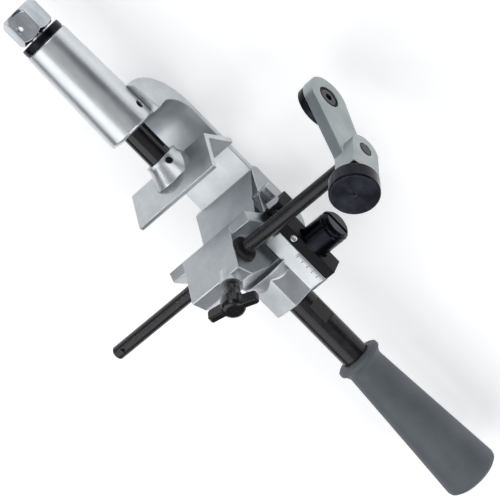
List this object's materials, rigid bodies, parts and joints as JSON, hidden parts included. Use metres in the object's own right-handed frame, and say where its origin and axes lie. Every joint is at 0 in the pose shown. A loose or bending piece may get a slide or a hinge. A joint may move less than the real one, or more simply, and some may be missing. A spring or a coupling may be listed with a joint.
{
  "type": "cable stripping tool",
  "caption": "Hand tool that clamps a thick cable between two vees; a sliding knife cuts its sheath against a swing-arm end stop.",
  "frame": {"origin": "centre of the clamped cable, where the tool's long axis crosses the cable's axis", "axes": "+X along the tool to the hand grip, +Y along the cable to the stop arm, +Z out of the open side of the C-frame"},
  "size_m": [0.4745, 0.2621, 0.1252],
  "materials": {
    "cast_aluminium": "shot-blasted casting with milled faces",
    "turned_aluminium": "fine turned",
    "milled_steel": "milled and matt plated",
    "chrome": "bright plated",
    "steel": "ground",
    "black_steel": "black oxide, oiled",
    "black_anodised": "black anodised, turned",
    "black_plastic": "moulded, semi-gloss",
    "grey_casting": "satin casting",
    "grip_rubber": "matt moulded rubber",
    "bush_plastic": "matt",
    "bronze": "machined",
    "scale": "satin with engraved lines"
  },
  "bodies": {
    "frame": {"main_frame": "cast_aluminium", "feed_barrel": "turned_aluminium", "retainer_collar": "black_anodised", "upper_thrust_washer": "steel", "lower_thrust_washer": "steel", "key_screw": "black_steel", "rod_bush_front": "bush_plastic", "rod_bush_back": "bush_plastic", "rod_clamp_pad": "bronze", "scale_plate": "scale", "rail_scale": "scale", "handle_rod": "black_steel", "handle_grip": "grip_rubber"},
    "feed_drive": {"feed_screw": "steel", "feed_nut": "chrome", "drive_pin": "steel"},
    "jaw": {"plunger": "black_steel", "plunger_nut": "bronze", "v_jaw": "milled_steel", "jaw_set_screw": "black_steel"},
    "stop_slide": {"stop_rod": "black_steel", "rod_stop_pin": "black_steel"},
    "rod_lock": {"wing_screw": "black_plastic", "wing_stud": "black_steel"},
    "swing_arm": {"stop_arm": "grey_casting"},
    "pad": {"stop_pad": "black_anodised", "pad_screw": "black_steel"},
    "arm_lock": {"arm_knob": "black_anodised", "arm_stud": "black_steel"},
    "knife": {"knife_block": "black_anodised", "blade": "steel", "blade_clamp": "black_anodised", "blade_screw": "black_steel", "adjusting_screw": "steel"},
    "knife_lock": {"knife_knob": "black_anodised", "knife_stud": "black_steel", "knife_washer": "black_steel"}
  },
  "joints": [
    {"name": "feed_turn", "type": "hinge", "parent": "frame", "child": "feed_drive", "pos_m": [-0.16, 0, 0], "axis": [1, 0, 0], "range_deg": [-3250, 3790]},
    {"name": "jaw_feed", "type": "slide", "parent": "frame", "child": "jaw", "axis": [1, 0, 0], "range_m": [-0.018, 0.021]},
    {"name": "rod_slide", "type": "slide", "parent": "frame", "child": "stop_slide", "axis": [0, 1, 0], "range_m": [-0.04, 0.075]},
    {"name": "rod_lock_turn", "type": "hinge", "parent": "frame", "child": "rod_lock", "pos_m": [0.0428, 0, 0.0334], "axis": [0.4226, 0, 0.9063], "range_deg": [0, 270]},
    {"name": "arm_swing", "type": "hinge", "parent": "stop_slide", "child": "swing_arm", "pos_m": [0.0428, 0.126, 0.0334], "axis": [0, 1, 0], "range_deg": [-90, 135]},
    {"name": "pad_spin", "type": "hinge", "parent": "swing_arm", "child": "pad", "pos_m": [0.00568, 0.116, -0.00372], "axis": [0, 1, 0], "continuous": true},
    {"name": "arm_lock_turn", "type": "hinge", "parent": "swing_arm", "child": "arm_lock", "pos_m": [0.0428, 0.1228, 0.0334], "axis": [0.3256, 0, 0.9455], "range_deg": [0, 270]},
    {"name": "knife_slide", "type": "slide", "parent": "frame", "child": "knife", "axis": [1, 0, 0], "range_m": [-0.008, 0.008]},
    {"name": "knife_lock_turn", "type": "hinge", "parent": "frame", "child": "knife_lock", "pos_m": [0.0765, 0.045, 0.003], "axis": [0, 1, 0], "range_deg": [0, 270]}
  ],
  "couplings": [
    {"joint": "feed_turn", "follows": "jaw_feed", "rad_per_m": 3141.6}
  ]
}
